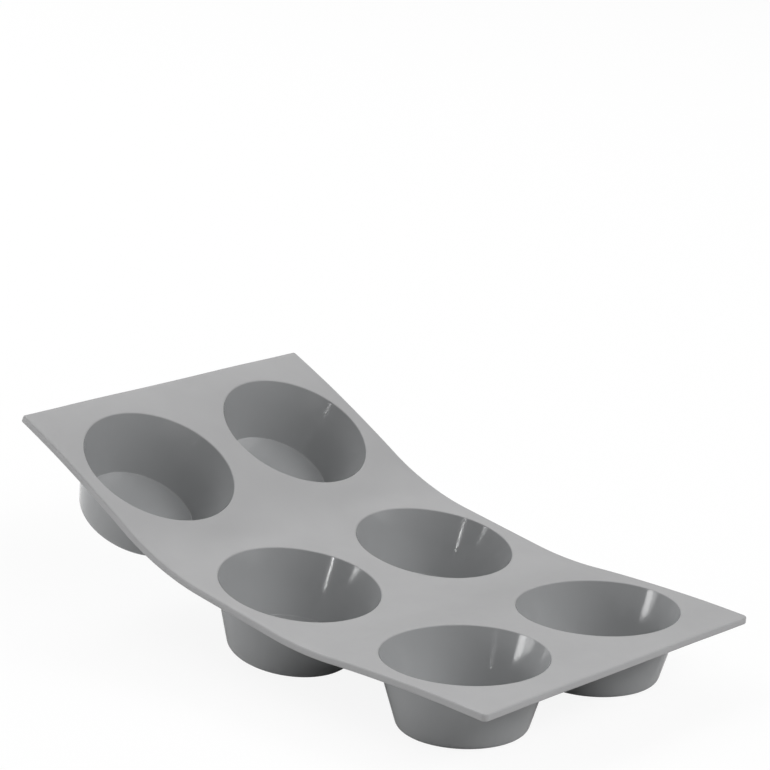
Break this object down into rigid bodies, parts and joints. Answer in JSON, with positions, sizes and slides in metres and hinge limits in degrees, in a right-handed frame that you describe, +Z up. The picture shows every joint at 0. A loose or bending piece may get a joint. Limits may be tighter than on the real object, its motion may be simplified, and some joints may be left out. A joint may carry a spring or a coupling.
{
  "type": "silicone soap mould",
  "caption": "Flexible silicone soap mould: a thin bending sheet with round tapered cups in rows of two.",
  "frame": {"origin": "middle of the bent mould's footprint, on the surface that the right row of cups stands on", "axes": "+X along the sheet to its level end, +Y to its back edge, +Z up"},
  "size_m": [0.2886, 0.1774, 0.0945],
  "materials": {
    "sheet_silicone": "fine matt",
    "cup_silicone": "satin"
  },
  "bodies": {
    "right_row": {"right_panel": "sheet_silicone", "right_web": "sheet_silicone", "right_front_cup_wall": "cup_silicone", "right_back_cup_wall": "cup_silicone"},
    "middle_row": {"middle_panel": "sheet_silicone", "left_web": "sheet_silicone", "middle_front_cup_wall": "cup_silicone", "middle_back_cup_wall": "cup_silicone"},
    "left_row": {"left_panel": "sheet_silicone", "left_front_cup_wall": "cup_silicone", "left_back_cup_wall": "cup_silicone"},
    "right_front_floor": {"right_front_cup_floor": "cup_silicone"},
    "right_back_floor": {"right_back_cup_floor": "cup_silicone"},
    "middle_front_floor": {"middle_front_cup_floor": "cup_silicone"},
    "middle_back_floor": {"middle_back_cup_floor": "cup_silicone"},
    "left_front_floor": {"left_front_cup_floor": "cup_silicone"},
    "left_back_floor": {"left_back_cup_floor": "cup_silicone"}
  },
  "joints": [
    {"name": "right_fold", "type": "hinge", "parent": "right_row", "child": "middle_row", "pos_m": [0.04399, 0, 0.02976], "axis": [0, 1, 0], "range_deg": [-54, 80], "deforming": ["right_web"]},
    {"name": "left_fold", "type": "hinge", "parent": "middle_row", "child": "left_row", "pos_m": [-0.05432, 0, 0.04713], "axis": [0, 1, 0], "range_deg": [-64, 70], "deforming": ["left_web"]},
    {"name": "right_front_floor_push", "type": "slide", "parent": "right_row", "child": "right_front_floor", "axis": [0, 0, 1], "range_m": [0, 0.012], "stiffness_N_per_m": 1200},
    {"name": "right_back_floor_push", "type": "slide", "parent": "right_row", "child": "right_back_floor", "axis": [0, 0, 1], "range_m": [0, 0.012], "stiffness_N_per_m": 1200},
    {"name": "middle_front_floor_push", "type": "slide", "parent": "middle_row", "child": "middle_front_floor", "axis": [0.1572, 0, 0.9876], "range_m": [0, 0.012], "stiffness_N_per_m": 1200},
    {"name": "middle_back_floor_push", "type": "slide", "parent": "middle_row", "child": "middle_back_floor", "axis": [0.1572, 0, 0.9876], "range_m": [0, 0.012], "stiffness_N_per_m": 1200},
    {"name": "left_front_floor_push", "type": "slide", "parent": "left_row", "child": "left_front_floor", "axis": [0.4715, 0, 0.8818], "range_m": [0, 0.012], "stiffness_N_per_m": 1200},
    {"name": "left_back_floor_push", "type": "slide", "parent": "left_row", "child": "left_back_floor", "axis": [0.4715, 0, 0.8818], "range_m": [0, 0.012], "stiffness_N_per_m": 1200}
  ]
}
